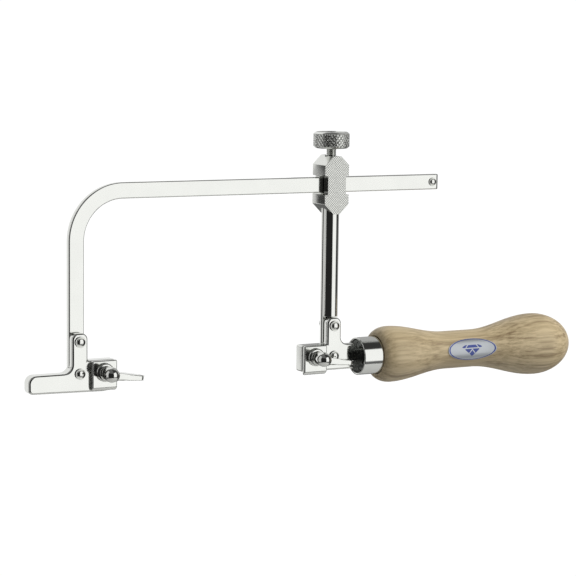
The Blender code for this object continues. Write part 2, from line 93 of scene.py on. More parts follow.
# Clamp block and clamp screw
BLOCK_TOP_CHAMFER = 4.4 * MM
BLOCK_BOTTOM_CHAMFER = 4.9 * MM
BLOCK_WAIST = 5.1 * MM
WAIST_PLAY = 0.5 * MM
PILLOW = 0.38 * MM     # how far the block's front draws in
CHECKER_PITCH = 0.86 * MM
CHECKER_GROOVE = 0.15 * MM
CHECKER_HEIGHT = 0.09 * MM
CHECKER_MARGIN = 0.25 * MM
STEM_RADIUS = 2.5 * MM
THREAD_PITCH = 0.8 * MM
THREAD_DEPTH = 0.32 * MM
KNOB_HEIGHT = 7.9 * MM
KNOB_RIM = 0.9 * MM
KNURL_HEIGHT = 6.1 * MM
KNURL_COUNT = 30
KNURL_DEPTH = 0.38 * MM
KNURL_FADE = 0.4 * MM
KNURL_LEAN = math.radians(34.0)

# Ferrule and handle; the handle's lengths start at its shoulder
FERRULE_WALL = 1.0 * MM
FERRULE_SEAT = 3.0 * MM
SHOULDER_RADIUS = 9.7 * MM
BULB_RADIUS = 13.75 * MM
WAIST_RADIUS = 9.35 * MM
BUTT_RADIUS = 15.5 * MM
BULB_AT = 7.3 * MM
WAIST_FROM = 39.0 * MM
WAIST_TO = 55.0 * MM
BUTT_AT = 92.0 * MM

# Colours
NICKEL = (0.825, 0.835, 0.80)
WOOD_DARK = (0.225, 0.155, 0.082, 1)
WOOD_MIDDLE = (0.44, 0.345, 0.202, 1)
WOOD_LIGHT = (0.60, 0.482, 0.295, 1)
WOOD_FLECK = (0.20, 0.135, 0.07, 1)
WOOD_PATCH = (0.50, 0.405, 0.25, 1)
FOIL_DARK = (0.47, 0.50, 0.53, 1)
FOIL_LIGHT = (0.66, 0.68, 0.70, 1)
PRINT_BLUE = (0.035, 0.06, 0.27, 1)
FLOOR_COLOUR = (0.72, 0.72, 0.71, 1)

# Floor, lights and camera
FLOOR_DROP = 0.46
FLOOR_RADIUS = 0.62
LIGHT_TARGET = (0.1, 0, 0.03)
CAMERA_PLACE = (-0.36666, -0.8646, 0.16018)
CAMERA_YAW = math.radians(27.79)
CAMERA_PITCH = math.radians(7.28)
CAMERA_ROLL = math.radians(0.73)
CAMERA_LENS = 129.1

# The tent's tone between its panels, and the plain white that the camera sees behind the saw
TENT_TONE = 0.14
BACKDROP = 1.05

# Each panel: left, right, low and high angle, softness, tone. The camera's side is angle 0.
TENT_PANELS = [
    (-52, 33, -45, 34, 2.0, 0.02),
    (36, 88, -24, 38, 3.0, 1.12),
    (34, 120, 41, 100, 3.0, 0.04),
    (88, 132, -50, 40, 3.0, 0.06),
    (132, 181, -24, 60, 6.0, 0.45),
    (-181, -121.6, -24, 60, 0.8, 0.9),
    (-121, -98, -24, 70, 0.8, 0.05),
    (-97, -54, -24, 50, 3.0, 0.66),
]

# Places read from the frame
BAR_LOW, BAR_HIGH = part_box("frame_bar")
STOP_LOW, STOP_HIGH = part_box("bar_stop_rivet")
FRONT_LOW, FRONT_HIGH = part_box("front_bracket")
REAR_LOW, REAR_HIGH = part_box("rear_bracket")
BLOCK_LOW, BLOCK_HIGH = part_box("slider_block")
POST_LOW, POST_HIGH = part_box("post_rod")
FERRULE_LOW, FERRULE_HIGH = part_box("ferrule")
HANDLE_LOW, HANDLE_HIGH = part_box("handle")
KNOB_LOW, KNOB_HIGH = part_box("clamp_screw")
LABEL_LOW, LABEL_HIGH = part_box("handle_label")

BAR_Z = STOP_LOW.z + (STOP_HIGH.z - STOP_LOW.z) / 2
BAR_HALF = BAR_HIGH.z - BAR_Z
BAR_THICKNESS = BAR_HIGH.y - BAR_LOW.y
BAR_Y = (BAR_HIGH.y + BAR_LOW.y) / 2
LEG_X = BAR_LOW.x + BAR_HALF
POST_RADIUS = (POST_HIGH.x - POST_LOW.x) / 2
POST_X = (POST_HIGH.x + POST_LOW.x) / 2
POST_Y = (BLOCK_LOW.y + BLOCK_HIGH.y) / 2
KNOB_RADIUS = (KNOB_HIGH.x - KNOB_LOW.x) / 2
KNOB_FOOT = KNOB_HIGH.z - KNOB_LOW.z - KNOB_HEIGHT
KNURL_FROM = KNOB_FOOT + KNOB_RIM
FERRULE_RADIUS = (FERRULE_HIGH.z - FERRULE_LOW.z) / 2
HANDLE_X = FERRULE_HIGH.x - FERRULE_SEAT
HANDLE_LENGTH = HANDLE_HIGH.x - HANDLE_X


# Meshes

def arc(centre, radius, start, end, steps):
    """Points on an arc in the XZ plane, angles in degrees from +X towards +Z."""
    points = []
    for step in range(steps + 1):
        angle = math.radians(start + (end - start) * step / steps)
        points.append((centre[0] + radius * math.cos(angle), centre[1] + radius * math.sin(angle)))
    return points


def prism(outline, low_y, high_y):
    """Extrude an (x, z) outline from low_y to high_y."""
    bm = bmesh.new()
    face = bm.faces.new([bm.verts.new((x, low_y, z)) for x, z in outline])
    swept = bmesh.ops.extrude_face_region(bm, geom=[face])
    moved = [part for part in swept["geom"] if isinstance(part, bmesh.types.BMVert)]
    bmesh.ops.translate(bm, vec=(0, high_y - low_y, 0), verts=moved)
    return bm


def box(low, high):
    outline = [(low[0], low[2]), (high[0], low[2]), (high[0], high[2]), (low[0], high[2])]
    return prism(outline, low[1], high[1])


def bridge(bm, first, second):
    """Join two closed rings of vertices; either may be a single point."""
    count = max(len(first), len(second))
    for step in range(count):
        following = (step + 1) % count
        corners = [first[step % len(first)], first[following % len(first)]]
        corners += [second[following % len(second)], second[step % len(second)]]
        bm.faces.new(list(dict.fromkeys(corners)))


def turned(profile, axis, start, segments=64, radius_at=None):
    """Spin (distance, radius) points round an axis. radius_at(distance, radius, angle) can shape the skin."""
    bm = bmesh.new()
    direction = Vector(axis).normalized()
    side = direction.orthogonal().normalized()
    other = direction.cross(side)
    rings = []
    for distance, radius in profile:
        centre = Vector(start) + direction * distance
        if radius == 0:
            rings.append([bm.verts.new(centre)])
            continue
        ring = []
        for step in range(segments):
            angle = 2 * math.pi * step / segments
            reach = radius_at(distance, radius, angle) if radius_at else radius
            ring.append(bm.verts.new(centre + reach * (math.cos(angle) * side + math.sin(angle) * other)))
        rings.append(ring)
    for first, second in zip(rings, rings[1:]):
        bridge(bm, first, second)
    return bm


def rod(radius, axis, start, length, segments=48):
    return turned([(0, 0), (0, radius), (length, radius), (length, 0)], axis, start, segments)


def quarter(start, length, low, high, steps, outward):
    """Profile points of a quarter ellipse that rises to high (outward) or falls to low from it."""
    points = []
    for step in range(steps + 1):
        angle = math.pi / 2 * step / steps
        if outward:
            points.append((start + length * (1 - math.cos(angle)), low + (high - low) * math.sin(angle)))
        else:
            points.append((start + length * math.sin(angle), low + (high - low) * math.cos(angle)))
    return points


def rounded_rectangle(width, height, radius, steps):
    """Points of a rounded rectangle round the origin."""
    points = []
    for turn, (sign_x, sign_y) in enumerate(((1, 1), (-1, 1), (-1, -1), (1, -1))):
        centre = (sign_x * (width / 2 - radius), sign_y * (height / 2 - radius))
        points += arc(centre, radius, 90 * turn, 90 * turn + 90, steps)
    return points


# Objects

def make(name, bm, shader, body, replaced=()):
    """Turn a bmesh into a piece that rides on a body."""
    bmesh.ops.recalc_face_normals(bm, faces=bm.faces)
    mesh = bpy.data.meshes.new(name)
    bm.to_mesh(mesh)
    bm.free()
    piece = bpy.data.objects.new(name, mesh)
    bpy.context.scene.collection.objects.link(piece)
    mesh.materials.append(shader)
    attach(piece, body)
    if replaced:
        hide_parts(*replaced)
    return piece


def settle(piece):
    """Apply a piece's modifiers."""
    graph = bpy.context.evaluated_depsgraph_get()
    mesh = bpy.data.meshes.new_from_object(piece.evaluated_get(graph))
    piece.modifiers.clear()
    piece.data = mesh


def combine(piece, bm, operation):
    """Join, cut or trim a piece with a second shape."""
    mesh = bpy.data.meshes.new("tool")
    bmesh.ops.recalc_face_normals(bm, faces=bm.faces)
    bm.to_mesh(mesh)
    bm.free()
    tool = bpy.data.objects.new("tool", mesh)
    bpy.context.scene.collection.objects.link(tool)
    modifier = piece.modifiers.new("combine", "BOOLEAN")
    modifier.operation = operation
    modifier.solver = "EXACT"
    modifier.object = tool
    settle(piece)
    bpy.data.objects.remove(tool)
    bpy.data.meshes.remove(mesh)


def soften(piece, width, segments=3, angle=30, sharp=50):
    """Round a piece's sharp edges and shade it, keeping flat faces flat."""
    bevel = piece.modifiers.new("bevel", "BEVEL")
    bevel.width = width
    bevel.segments = segments
    bevel.limit_method = "ANGLE"
    bevel.angle_limit = math.radians(angle)
    bevel.use_clamp_overlap = False
    settle(piece)
    shade(piece, sharp)


def smooth(piece, sharp):
    """Smooth shading, split where faces meet at more than a sharp angle."""
    piece.data.shade_smooth()
    piece.data.set_sharp_from_angle(angle=math.radians(sharp))


def shade(piece, sharp=50):
    """Smooth shading with normals that keep large faces flat."""
    smooth(piece, sharp)
    even = piece.modifiers.new("even", "WEIGHTED_NORMAL")
    even.keep_sharp = True
    settle(piece)


def refinish(node, shader):
    """Give a CAD node that stays a better material."""
    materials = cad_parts[node].data.materials
    materials.clear()
    materials.append(shader)


# Materials

def add_node(tree, kind, inputs=None, **settings):
    """Add a node. Each input is a value or another node's output."""
    node = tree.nodes.new(kind)
    for name, value in settings.items():
        setattr(node, name, value)
    for name, value in (inputs or {}).items():
        if isinstance(value, bpy.types.NodeSocket):
            tree.links.new(value, node.inputs[name])
        else:
            node.inputs[name].default_value = value
    return node


class Shader:
    """A node material: node() adds a node, link() joins sockets."""

    def __init__(self, name):
        self.material = bpy.data.materials.new(name)
        self.material.use_nodes = True
        self.tree = self.material.node_tree
        self.surface = self.tree.nodes["Principled BSDF"]

    def node(self, kind, inputs=None, **settings):
        return add_node(self.tree, kind, inputs, **settings)

    def link(self, output, name):
        self.tree.links.new(output, self.surface.inputs[name])

    def set(self, **values):
        for name, value in values.items():
            self.surface.inputs[name.replace("_", " ")].default_value = value

    def place(self, scale, rotation=(0, 0, 0)):
        """Object coordinates in metres, scaled."""
        source = self.node("ShaderNodeTexCoord")
        inputs = {"Vector": source.outputs["Object"], "Scale": scale, "Rotation": rotation}
        return self.node("ShaderNodeMapping", inputs).outputs["Vector"]

    def noise(self, place, detail, roughness=0.5):
        inputs = {"Vector": place, "Scale": 1.0, "Detail": detail, "Roughness": roughness}
        return self.node("ShaderNodeTexNoise", inputs).outputs["Fac"]

    def span(self, value, low, high, to_low, to_high):
        """Map a value from one range to another."""
        inputs = {"Value": value, "From Min": low, "From Max": high, "To Min": to_low, "To Max": to_high}
        return self.node("ShaderNodeMapRange", inputs).outputs["Result"]

    def math(self, operation, first, second=0.0, third=0.0):
        """Arithmetic on sockets and numbers. third is COMPARE's margin."""
        return self.node("ShaderNodeMath", {0: first, 1: second, 2: third}, operation=operation).outputs[0]

    def blend(self, share, first, second):
        """Mix two colours."""
        inputs = {0: share, 6: first, 7: second}
        return self.node("ShaderNodeMix", inputs, data_type="RGBA").outputs[2]

    def bump(self, height, strength, distance):
        bump = self.node("ShaderNodeBump", {"Height": height, "Strength": strength, "Distance": distance})
        self.link(bump.outputs["Normal"], "Normal")


def plated_steel(name, low=0.04, high=0.13, scratches=0.05, grain=(1, 1, 1), colour=NICKEL):
    """Polished nickel plate: faint clouding, fine polishing lines and slightly duller edges."""
    made = Shader(name)
    clouds = made.noise(made.place((90, 90, 90)), 3.0)
    lines = made.noise(made.place([9000 * share for share in grain]), 2.0)
    dull = made.span(clouds, 0.35, 0.65, low, high)
    worn = made.node("ShaderNodeNewGeometry").outputs["Pointiness"]
    edge = made.span(worn, 0.52, 0.60, 0.0, 0.10)
    made.link(made.math("ADD", dull, edge), "Roughness")
    shadow = tuple(0.9 * channel for channel in colour) + (1,)
    made.link(made.blend(clouds, shadow, colour + (1,)), "Base Color")
    made.set(Metallic=1.0)
    made.bump(lines, scratches, 0.02 * MM)
    return made.material


def beech():
    """Turned beech with a satin finish: long grain, rings, short rays and pores."""
    made = Shader("beech")
    drift = made.noise(made.place((9, 50, 50)), 2.0)
    warped = made.node("ShaderNodeVectorMath", operation="ADD")
    made.tree.links.new(made.place((4, 190, 260), (0.03, 0.02, 0)), warped.inputs[0])
    shift = made.node("ShaderNodeCombineXYZ", {"Y": made.span(drift, 0, 1, -0.7, 0.7),
                                               "Z": made.span(drift, 0, 1, -1.0, 1.0)})
    made.tree.links.new(shift.outputs[0], warped.inputs[1])
    rings = made.noise(warped.outputs[0], 2.0, 0.6)
    streaks = made.noise(made.place((9, 900, 900), (0, 0.01, 0.015)), 5.0, 0.66)
    tone = made.math("ADD", made.span(rings, 0.32, 0.68, 0.0, 0.5), made.span(streaks, 0.34, 0.66, 0.0, 0.62))
    ramp = made.node("ShaderNodeValToRGB", {"Fac": tone})
    ramp.color_ramp.elements[0].position = 0.15
    ramp.color_ramp.elements[0].color = WOOD_DARK
    ramp.color_ramp.elements[1].position = 0.85
    ramp.color_ramp.elements[1].color = WOOD_LIGHT
    middle = ramp.color_ramp.elements.new(0.5)
    middle.color = WOOD_MIDDLE
    flecks = made.node("ShaderNodeTexVoronoi", {"Vector": made.place((260, 2600, 1500)), "Scale": 1.0,
                                                "Randomness": 1.0})
    fleck = made.span(flecks.outputs["Distance"], 0.06, 0.22, 0.32, 0.0)
    colour = made.blend(fleck, ramp.outputs["Color"], WOOD_FLECK)
    patch = made.span(made.noise(made.place((22, 45, 45)), 2.0), 0.35, 0.65, 0.0, 0.35)
    made.link(made.blend(patch, colour, WOOD_PATCH), "Base Color")
    made.link(made.span(streaks, 0.3, 0.7, 0.52, 0.36), "Roughness")
    made.set(Coat_Weight=0.12, Coat_Roughness=0.28)
    made.bump(made.math("SUBTRACT", streaks, fleck), 0.25, 0.12 * MM)
    return made.material


def label_foil():
    """Silver foil with a blue rim and a plain cut-gem device, drawn in the label's own flat coordinates."""
    made = Shader("label_foil")
    place = made.node("ShaderNodeUVMap").outputs["UV"]
    axes = made.node("ShaderNodeSeparateXYZ", {"Vector": place})
    across = axes.outputs["X"]
    up = axes.outputs["Y"]
    reach = made.node("ShaderNodeVectorMath", {0: place}, operation="LENGTH").outputs["Value"]
    rays = made.math("SINE", made.math("MULTIPLY", reach, 130.0))
    silver = made.blend(made.span(rays, -1, 1, 0, 0.5), FOIL_DARK, FOIL_LIGHT)
    side = made.math("ABSOLUTE", across)
    crown = made.math("LESS_THAN", made.math("ADD", made.math("MULTIPLY", side, 1.15), up), 0.72)
    table = made.math("LESS_THAN", up, 0.40)
    pavilion = made.math("LESS_THAN", made.math("SUBTRACT", made.math("MULTIPLY", side, 2.0), up), 0.62)
    gem = made.math("MULTIPLY", made.math("MULTIPLY", crown, table), pavilion)
    girdle = made.math("LESS_THAN", made.math("ABSOLUTE", made.math("SUBTRACT", up, 0.10)), 0.045)
    facets = made.math("PINGPONG", made.math("ADD", made.math("MULTIPLY", up, 0.35), side), 0.16)
    cut = made.math("MAXIMUM", girdle, made.math("LESS_THAN", facets, 0.022))
    drawn = made.math("MULTIPLY", gem, made.math("SUBTRACT", 1.0, cut))
    rim = made.math("COMPARE", reach, 0.945, 0.028)
    printed = made.math("MAXIMUM", drawn, rim)
    made.link(made.blend(printed, silver, PRINT_BLUE), "Base Color")
    made.link(made.span(printed, 0, 1, 0.75, 0.1), "Metallic")
    made.link(made.span(rays, -1, 1, 0.30, 0.42), "Roughness")
    made.set(Coat_Weight=0.4, Coat_Roughness=0.12)
    made.bump(rays, 0.08, 0.03 * MM)
    return made.material


BAR_PLATE = plated_steel("nickel_bar", 0.05, 0.12, 0.04, (0.05, 1, 1))
CAST_PLATE = plated_steel("nickel_bracket", 0.05, 0.14, 0.05)
SCREW_PLATE = plated_steel("nickel_screw", 0.06, 0.16, 0.06)
BLOCK_PLATE = plated_steel("nickel_block", 0.07, 0.16, 0.06)
CHECKER_PLATE = plated_steel("nickel_checkering", 0.10, 0.18, 0.05)
KNURL_PLATE = plated_steel("nickel_knurl", 0.07, 0.14, 0.06)
POST_PLATE = plated_steel("nickel_post", 0.03, 0.08, 0.03, (1, 1, 0.03))
FERRULE_PLATE = plated_steel("nickel_ferrule", 0.05, 0.12, 0.04, (0.05, 1, 1))
# Dark plate for the disc in the ferrule's mouth: painted shade that stands for the shade inside the ferrule
SHADE_DISC_PLATE = plated_steel("painted_shade_disc", 0.25, 0.4, 0.1, colour=(0.30, 0.31, 0.31))
PIN_STEEL = plated_steel("ground_steel", 0.22, 0.35, 0.08, colour=(0.60, 0.60, 0.58))
PAD_BRASS = plated_steel("pad_brass", 0.22, 0.36, 0.08, colour=(0.72, 0.55, 0.28))
BEECH = beech()
LABEL = label_foil()


# The frame's pieces

def make_bar():
    """Flat bar with rounded edges, swept up the leg, round the bend and out to the free end."""
    section = rounded_rectangle(2 * BAR_HALF, BAR_THICKNESS, EDGE, 4)
    centre = (LEG_X + BEND_RADIUS, BAR_Z - BEND_RADIUS)
    stations = [((LEG_X, BAR_LOW.z), (1, 0)), ((LEG_X, centre[1]), (1, 0))]
    for x, z in arc(centre, BEND_RADIUS, 180, 90, 40)[1:]:
        inward = Vector((centre[0] - x, centre[1] - z)).normalized()
        stations.append(((x, z), tuple(inward)))
    stations.append(((BAR_HIGH.x - BAR_CHAMFER, BAR_Z), (0, -1)))
    stations.append(((BAR_HIGH.x, BAR_Z), (0, -1)))
    bm = bmesh.new()
    rings = []
    for (x, z), (side_x, side_z) in stations:
        rings.append([bm.verts.new((x + across * side_x, BAR_Y + deep, z + across * side_z))
                      for across, deep in section])
    for first, second in zip(rings, rings[1:]):
        bridge(bm, first, second)
    for vertex in rings[-1]:
        vertex.co.y = BAR_Y + (vertex.co.y - BAR_Y) * BAR_END_SHARE
    bm.faces.new(rings[0])
    bm.faces.new(rings[-1])
    bar = make("bar", bm, BAR_PLATE, "frame", ["frame_bar"])
    soften(bar, 0.2 * MM, 2, 50, 25)


def tab_top(middle, top):
    """The tab's two rounded upper corners, from right to left."""
    right, left = middle + TAB_HALF - TAB_CORNER, middle - TAB_HALF + TAB_CORNER
    corners = arc((right, top - TAB_CORNER), TAB_CORNER, 0, 90, 10)
    return corners + arc((left, top - TAB_CORNER), TAB_CORNER, 90, 180, 10)


def front_outline():
    """Nose, jaw and tab, anticlockwise from the nose's toe."""
    nose, jaw = FRONT_LOW.x, FRONT_HIGH.x
    outline = arc((nose + NOSE_TOE, JAW_BOTTOM + NOSE_TOE), NOSE_TOE, 180, 262, 8)
    outline += [(jaw - BELLY_AT, JAW_BOTTOM - NOSE_BELLY), (jaw - JAW_CORNER, JAW_BOTTOM)]
    outline += [(jaw, JAW_BOTTOM + JAW_CORNER), (jaw, JAW_TOP), (LEG_X + TAB_HALF, JAW_TOP)]
    outline += tab_top(LEG_X, FRONT_HIGH.z)
    outline += arc((LEG_X - TAB_HALF - NOSE_FILLET, NOSE_TOP + NOSE_FILLET), NOSE_FILLET, 0, -90, 10)
    outline += arc((nose + NOSE_ROUND, NOSE_TOP - NOSE_ROUND), NOSE_ROUND, 90, 180, 10)
    return outline


def rear_outline():
    """Jaw, arm with its tang, and tab, anticlockwise from the jaw's lower corner."""
    jaw, tang_end = REAR_LOW.x, REAR_HIGH.x
    shoulder = FERRULE_LOW.x - GAP
    outline = [(jaw, ARM_BOTTOM), (shoulder, ARM_BOTTOM), (shoulder, -TANG_HALF)]
    outline += [(tang_end - TANG_HALF, -TANG_HALF), (tang_end, 0), (tang_end - TANG_HALF, TANG_HALF)]
    outline += [(shoulder, TANG_HALF), (shoulder, ARM_TOP)]
    outline += arc((POST_X + TAB_HALF + ARM_FILLET, ARM_TOP + ARM_FILLET), ARM_FILLET, 270, 180, 10)
    outline += tab_top(POST_X, REAR_HIGH.z)
    outline += [(POST_X - TAB_HALF, JAW_TOP), (jaw, JAW_TOP)]
    return outline


def make_bracket(name, outline, pocket, node, screw_x, body):
    """Thick jaw and nose with a pocket behind the tab, and the screw's hole right through."""
    low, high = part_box(node)
    bracket = make(name, prism(outline, low.y, high.y), CAST_PLATE, body, [node])
    combine(bracket, box(*pocket), "DIFFERENCE")
    hole = rod(SCREW_RADIUS + GAP, (0, 1, 0), (screw_x, -CLEAR, SCREW_Z), 3 * CLEAR)
    combine(bracket, hole, "DIFFERENCE")
    soften(bracket, 1.0 * MM, 5, 32)


def make_jaw_plate(side, body):
    """Loose jaw plate, its lower front edge bevelled."""
    low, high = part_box(f"{side}_jaw_plate")
    name = f"{side}_clamp_plate"
    plate = make(name, box(low, high), CAST_PLATE, body, [f"{side}_jaw_plate"])
    corner = box((low.x - MM, low.y - 2 * MM, low.z - MM), (high.x + MM, low.y, low.z + MM))
    slope = Matrix.Rotation(math.radians(45), 3, "X")
    bmesh.ops.rotate(corner, verts=corner.verts, cent=(0, low.y, low.z), matrix=slope)
    bmesh.ops.translate(corner, verts=corner.verts, vec=(0, PLATE_SLANT / 2, PLATE_SLANT / 2))
    combine(plate, corner, "DIFFERENCE")
    middle = (low.x + high.x) / 2
    hole = rod(SCREW_RADIUS + GAP, (0, 1, 0), (middle, -2 * CLEAR, SCREW_Z), 3 * CLEAR)
    combine(plate, hole, "DIFFERENCE")
    soften(plate, 0.75 * MM, 5, 32)


def make_wing_screw(side, body):
    """Shank, collar and bullet-shaped hub with a flat leaf that grows out of it."""
    low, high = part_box(f"{side}_wing_screw")
    plate_low, plate_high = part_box(f"{side}_jaw_plate")
    axis_x = (plate_low.x + plate_high.x) / 2
    seat = high.y - (plate_low.y - GAP)
    length = high.y - low.y
    collar, neck, hub = 4.2 * MM, 3.0 * MM, 3.5 * MM
    tip, chamfer, collar_round = 0.4 * MM, 0.3 * MM, 0.4 * MM
    collar_edge = seat + 0.8 * MM
    crown = seat + 7.6 * MM
    profile = [(0, 0), (0, SCREW_RADIUS - tip), (tip, SCREW_RADIUS), (seat, SCREW_RADIUS)]
    profile += [(seat, collar - chamfer), (seat + chamfer, collar), (collar_edge, collar)]
    profile += quarter(collar_edge, collar_round, neck + 0.2 * MM, collar, 4, False)
    profile += [(seat + 1.4 * MM, neck), (seat + 2.6 * MM, neck + 0.1 * MM)]
    profile += [(seat + 4.6 * MM, hub - 0.15 * MM), (seat + 6.6 * MM, hub)]
    profile += quarter(crown, length - crown, 0, hub, 12, False)
    profile[-1] = (length, 0)
    start = (axis_x, high.y, SCREW_Z)
    bm = turned(profile, (0, -1, 0), start, 56)
    name = f"{side}_thumb_screw"
    screw = make(name, bm, SCREW_PLATE, body, [f"{side}_wing_screw"])
    combine(screw, wing_leaf(axis_x, plate_low.y - GAP - LEAF_STAND), "UNION")
    soften(screw, 0.4 * MM, 3, 32)


def wing_leaf(axis_x, back_y):
    """Leaf in the plane of the screw's axis: thick wide root, thinner and narrower rounded tip."""
    tip_round = 2.4 * MM
    knee = 8 * MM
    near, far = 1.2 * MM, 6.6 * MM
    root_half, taper, drop = 1.9 * MM, 0.8 * MM, 0.5 * MM
    outline = [(0, 0.3 * MM), (knee, 0.4 * MM)]
    outline += arc((LEAF_REACH - tip_round, near + tip_round), tip_round, 275, 360, 8)
    outline += arc((LEAF_REACH - tip_round, far - tip_round), tip_round, 0, 80, 8)
    outline += [(knee, 7.4 * MM), (0, 8.0 * MM)]
    bm = bmesh.new()
    layers = []
    for sign in (-1, 1):
        layer = []
        for x, y in outline:
            half = root_half - taper * x / LEAF_REACH
            layer.append(bm.verts.new((x, -y, sign * half - drop)))
        layers.append(layer)
    bridge(bm, *layers)
    caps = [bm.faces.new(layers[0]), bm.faces.new(layers[1])]
    rims = [edge for cap in caps for edge in cap.edges]
    bmesh.ops.bevel(bm, geom=rims, offset=0.9 * MM, segments=4, profile=0.5, affect="EDGES")
    bmesh.ops.rotate(bm, verts=bm.verts, matrix=Matrix.Rotation(WING_ANGLE, 3, "Y"))
    bmesh.ops.translate(bm, verts=bm.verts, vec=(axis_x, back_y, SCREW_Z))
    return bm


def make_rivet(node, body):
    """Domed head inside a raised ring in front, low set head behind."""
    low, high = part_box(node)
    centre = ((low.x + high.x) / 2, low.y, (low.z + high.z) / 2)
    radius = (high.x - low.x) / 2
    head = radius * 0.39
    shank = radius * 0.63
    length = high.y - low.y
    dome = radius * 0.74
    profile = [(0, 0)]
    profile += [(head * 0.75 * (1 - math.cos(math.radians(turn))), dome * math.sin(math.radians(turn)))
                for turn in range(15, 91, 15)]
    profile += [(head * 0.72, radius * 0.80), (head * 0.42, radius * 0.87), (head * 0.42, radius * 0.95)]
    profile += [(head * 0.62, radius), (head, radius), (head, shank), (length - head, shank)]
    profile += [(length - head, radius), (length - head * 0.5, radius * 0.96)]
    profile += [(length - head * 0.1, radius * 0.7), (length, radius * 0.4), (length, 0)]
    rivet = make(node.replace("rivet", "rivet_set"), turned(profile, (0, 1, 0), centre, 48), CAST_PLATE,
                 body, [node])
    shade(rivet)


def block_outline(inset=0.0):
    """Octagon with a waist where the bar passes."""
    half = (BLOCK_HIGH.x - BLOCK_LOW.x) / 2 - inset
    low, high = BLOCK_LOW.z + inset, BLOCK_HIGH.z - inset
    waist = BLOCK_WAIST - inset
    waist_half = BAR_HALF + WAIST_PLAY + inset
    slant = inset * (math.sqrt(2) - 2)
    side = [(half - BLOCK_BOTTOM_CHAMFER - slant, low), (half, low + BLOCK_BOTTOM_CHAMFER + slant)]
    side += [(half, BAR_Z - waist_half), (waist, BAR_Z - waist_half), (waist, BAR_Z + waist_half)]
    side += [(half, BAR_Z + waist_half), (half, high - BLOCK_TOP_CHAMFER - slant)]
    side += [(half - BLOCK_TOP_CHAMFER - slant, high)]
    return [(POST_X + x, z) for x, z in side] + [(POST_X - x, z) for x, z in reversed(side)]


def make_block():
    """Clamp block with its slot and bores."""
    front = BLOCK_LOW.y + CHECKER_HEIGHT
    depth = BLOCK_HIGH.y - front
    bm = bmesh.new()
    rings = []
    steps = 16
    for step in range(steps + 1):
        forward = 1 - step / steps
        y = front + depth * step / steps
        rings.append([bm.verts.new((x, y, z)) for x, z in block_outline(PILLOW * forward * forward)])
    for first, second in zip(rings, rings[1:]):
        bridge(bm, first, second)
    bm.faces.new(rings[0])
    bm.faces.new(rings[-1])
    block = make("clamp_block", bm, BLOCK_PLATE, "handle_assembly", ["slider_block"])
    slot = box((POST_X - 2 * CLEAR, BAR_LOW.y - GAP, BAR_Z - BAR_HALF - GAP),
               (POST_X + 2 * CLEAR, BAR_HIGH.y + GAP, BAR_HIGH.z + GAP))
    combine(block, slot, "DIFFERENCE")
    bore = rod(STEM_RADIUS + GAP, (0, 0, 1), (POST_X, POST_Y, BAR_Z), 4 * CLEAR)
    combine(block, bore, "DIFFERENCE")
    top = (POST_X, POST_Y, POST_HIGH.z + GAP)
    socket = rod(POST_RADIUS + GAP, (0, 0, -1), top, 4 * CLEAR, 64)
    combine(block, socket, "DIFFERENCE")
    soften(block, 0.3 * MM, 3, 32)


def make_checkering():
    """Fine crossed grooves on the block's front: a lattice of flat-topped diamonds trimmed to the face."""
    bm = bmesh.new()
    reach = 28
    front = BLOCK_LOW.y
    valley = front + CHECKER_HEIGHT
    back = front + 3 * CHECKER_HEIGHT
    step = CHECKER_PITCH / math.sqrt(2)
    inset = CHECKER_GROOVE / CHECKER_PITCH
    middle = (BLOCK_LOW.z + BLOCK_HIGH.z) / 2

    def point(row, column, y):
        return bm.verts.new((POST_X + (column - row) * step, y, middle + (column + row) * step))

    span = range(-reach, reach + 1)
    corners = {(row, column): point(row, column, valley) for row in span for column in span}
    for row in range(-reach, reach):
        for column in range(-reach, reach):
            low_row, high_row = row + inset, row + 1 - inset
            low_column, high_column = column + inset, column + 1 - inset
            top = [point(low_row, low_column, front), point(low_row, high_column, front),
                   point(high_row, high_column, front), point(high_row, low_column, front)]
            around = [corners[row, column], corners[row, column + 1], corners[row + 1, column + 1],
                      corners[row + 1, column]]
            bm.faces.new(top)
            bridge(bm, top, around)
    rim = [corners[-reach, column] for column in range(-reach, reach)]
    rim += [corners[row, reach] for row in range(-reach, reach)]
    rim += [corners[reach, column] for column in range(reach, -reach, -1)]
    rim += [corners[row, -reach] for row in range(reach, -reach, -1)]
    foot = [bm.verts.new((vertex.co.x, back, vertex.co.z)) for vertex in rim]
    bridge(bm, rim, foot)
    bm.faces.new(foot)
    panel = make("block_checkering", bm, CHECKER_PLATE, "handle_assembly")
    outline = block_outline(CHECKER_MARGIN)
    combine(panel, prism(outline, front - MM, back - CHECKER_HEIGHT), "INTERSECT")


def knurl(distance, radius, angle):
    """Crossed helical grooves that fade out at the knob's rims."""
    low, high = KNURL_FROM, KNURL_FROM + KNURL_HEIGHT
    if not low < distance < high:
        return radius
    lean = KNURL_LEAN * (distance - low) / (high - low)
    first = abs(math.sin(KNURL_COUNT * (angle + lean) / 2))
    second = abs(math.sin(KNURL_COUNT * (angle - lean) / 2))
    fade = min(1.0, (distance - low) / KNURL_FADE, (high - distance) / KNURL_FADE)
    return radius - KNURL_DEPTH * fade * max(0.0, 1 - min(first, second) / 0.6)


def thread(distance, radius, angle):
    """Shallow helical thread."""
    share = (distance / THREAD_PITCH - angle / (2 * math.pi)) % 1
    return radius - THREAD_DEPTH * abs(2 * share - 1)


